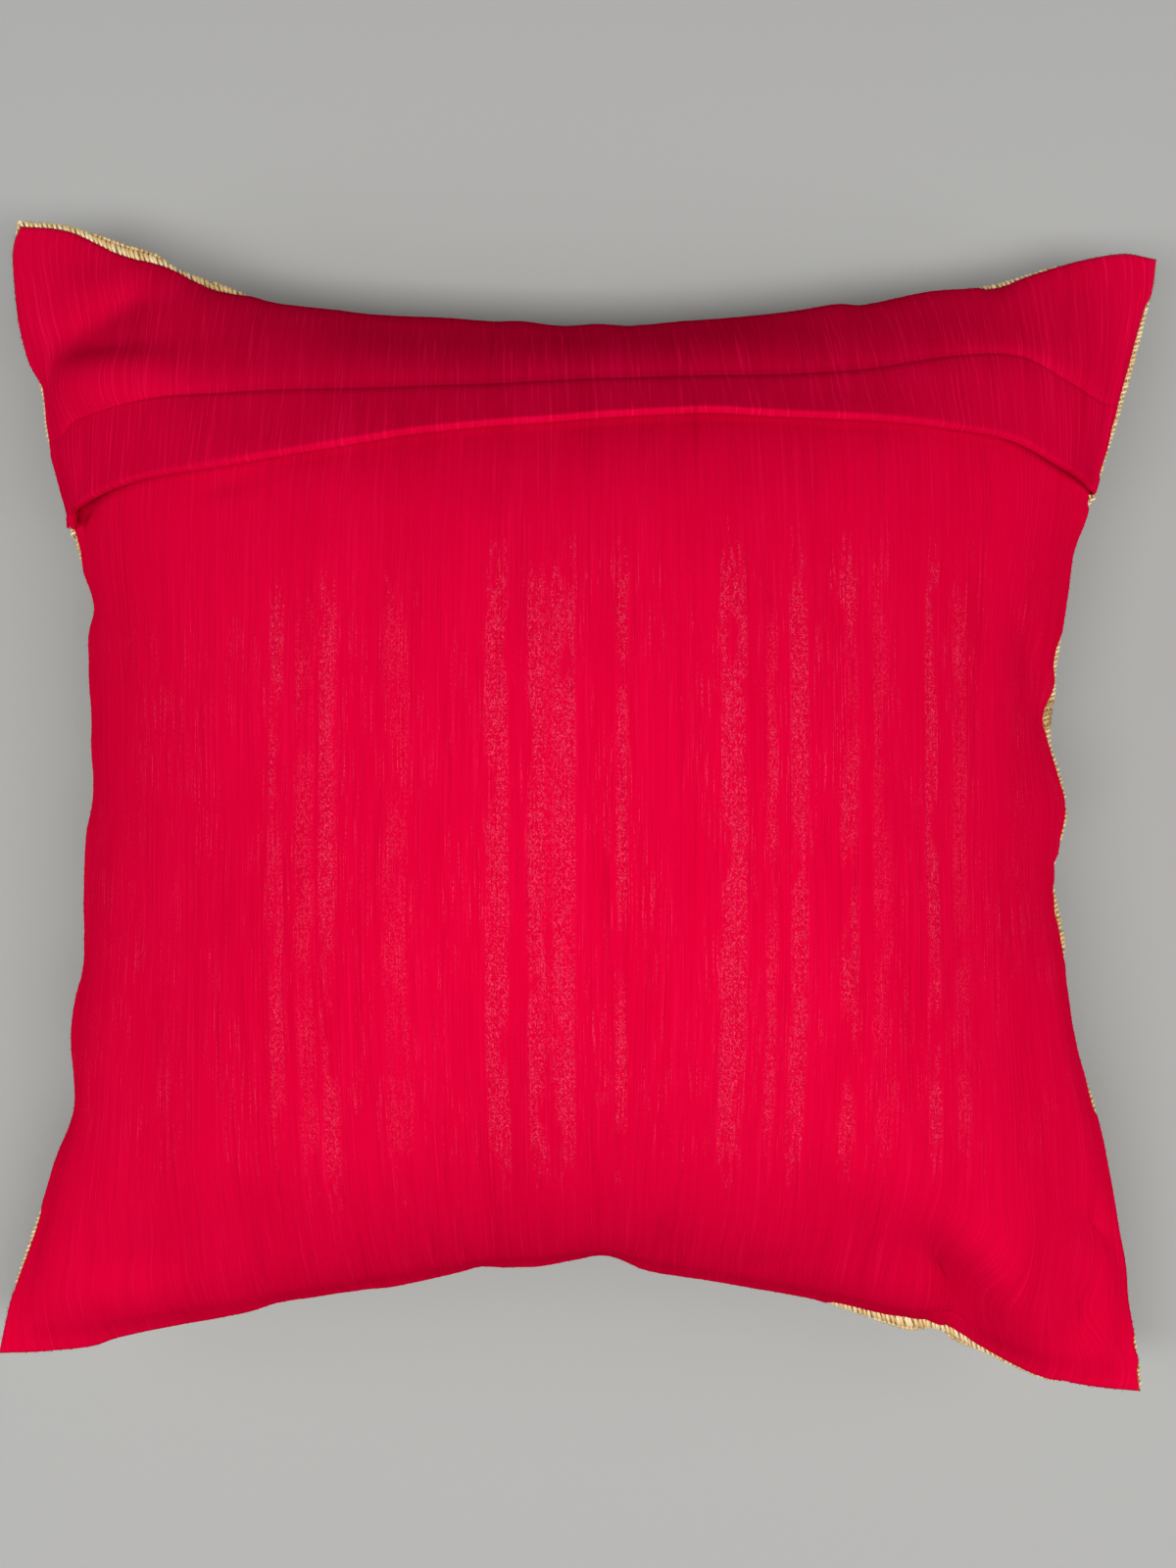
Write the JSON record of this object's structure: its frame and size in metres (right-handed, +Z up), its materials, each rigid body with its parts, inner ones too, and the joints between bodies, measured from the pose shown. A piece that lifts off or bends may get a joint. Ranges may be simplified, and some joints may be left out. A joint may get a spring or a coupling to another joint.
{
  "type": "filled envelope cushion cover",
  "caption": "Square envelope-back cushion cover, plump with its filling, lying on its front: drawn-in sides, soft corner ears and a hemmed flap over the back panel.",
  "frame": {"origin": "on the resting surface, under the middle of the cover's box", "axes": "+Z up out of the back, +Y towards the side with the flap, +X to the right as seen from above"},
  "size_m": [0.3934, 0.3906, 0.1539],
  "materials": {
    "front_cloth": "ribbed cream and gold thread brocade, soft metallic sheen",
    "panel_cloth": "matt crimson slub weave with paler flecked threads",
    "flap_cloth": "matt crimson slub weave, turned and sewn hem"
  },
  "bodies": {
    "root": {"filled_front": "front_cloth", "back_panel": "panel_cloth", "back_flap": "flap_cloth"}
  },
  "joints": []
}
